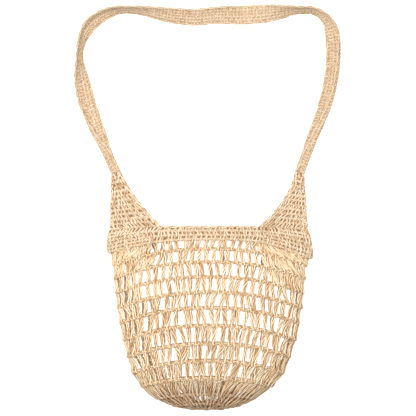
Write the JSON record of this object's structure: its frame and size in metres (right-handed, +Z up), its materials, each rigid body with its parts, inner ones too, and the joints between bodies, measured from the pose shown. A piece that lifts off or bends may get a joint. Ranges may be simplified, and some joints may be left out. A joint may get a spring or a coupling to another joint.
{
  "type": "crochet crossbody bag",
  "caption": "Open-net crochet bag lying on its back, with a dense band round its mouth, a folded flare at each side and one long shoulder strap laid out in a loop.",
  "frame": {"origin": "under the middle of the whole bag's box, strap included, on the surface that it lies on", "axes": "+X to the right across the bag, +Y from the base past the mouth towards the strap, +Z up, out of the bag's front"},
  "size_m": [0.3884, 0.5906, 0.0736],
  "materials": {
    "net_yarn": "natural straw-coloured twisted paper yarn in open tall crochet, dry, with a faint sheen",
    "band_yarn": "the same yarn in close short crochet, dry, with a faint sheen",
    "strap_yarn": "the same yarn in close short crochet, dry, with a smoother edge"
  },
  "bodies": {
    "root": {"net_pouch": "net_yarn", "band_and_flares": "band_yarn", "strap": "strap_yarn"}
  },
  "joints": []
}
